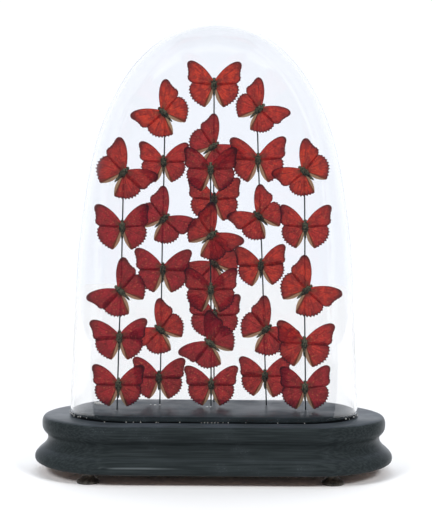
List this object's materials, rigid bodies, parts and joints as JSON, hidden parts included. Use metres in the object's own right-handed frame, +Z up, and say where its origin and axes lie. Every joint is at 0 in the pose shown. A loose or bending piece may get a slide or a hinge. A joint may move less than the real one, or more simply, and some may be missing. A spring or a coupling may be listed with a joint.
{
  "type": "insect display dome",
  "caption": "Oval glass dome on a moulded dark wooden base, with red butterflies mounted in upright rows on thin wires.",
  "frame": {"origin": "on the ground, under the middle of the base", "axes": "+Z up, the longest way; +X along the long side of the oval base; -Y is the front, which the butterflies' upper sides face"},
  "size_m": [0.3646, 0.18, 0.458],
  "materials": {
    "ebonised_wood": "black-stained fruitwood with an old satin polish, worn and dusty on its upper faces",
    "foot_brass": "turned brass darkened to brown",
    "glass": "clear blown glass, smooth, with a faint cool tint",
    "wire_steel": "dull grey drawn wire",
    "dry_insect": "matt red scaled wings with dark margins, on a furry dark olive body"
  },
  "bodies": {
    "root": {"base": "ebonised_wood", "platform": "ebonised_wood", "foot_front_left": "foot_brass", "foot_front_right": "foot_brass", "foot_back_left": "foot_brass", "foot_back_right": "foot_brass", "glass_dome": "glass", "wire_A": "wire_steel", "wire_B": "wire_steel", "wire_C_front": "wire_steel", "wire_C_back": "wire_steel", "wire_D": "wire_steel", "wire_E": "wire_steel", "butterfly_A1": "dry_insect", "butterfly_A2": "dry_insect", "butterfly_A3": "dry_insect", "butterfly_A4": "dry_insect", "butterfly_A5": "dry_insect", "butterfly_B1": "dry_insect", "butterfly_B2": "dry_insect", "butterfly_B3": "dry_insect", "butterfly_B4": "dry_insect", "butterfly_B5": "dry_insect", "butterfly_B6": "dry_insect", "butterfly_C1": "dry_insect", "butterfly_C2": "dry_insect", "butterfly_C3": "dry_insect", "butterfly_C4": "dry_insect", "butterfly_C5": "dry_insect", "butterfly_C6": "dry_insect", "butterfly_C7": "dry_insect", "butterfly_C8": "dry_insect", "butterfly_C9": "dry_insect", "butterfly_C10": "dry_insect", "butterfly_D1": "dry_insect", "butterfly_D2": "dry_insect", "butterfly_D3": "dry_insect", "butterfly_D4": "dry_insect", "butterfly_D5": "dry_insect", "butterfly_D6": "dry_insect", "butterfly_E1": "dry_insect", "butterfly_E2": "dry_insect", "butterfly_E3": "dry_insect", "butterfly_E4": "dry_insect", "butterfly_E5": "dry_insect"}
  },
  "joints": []
}
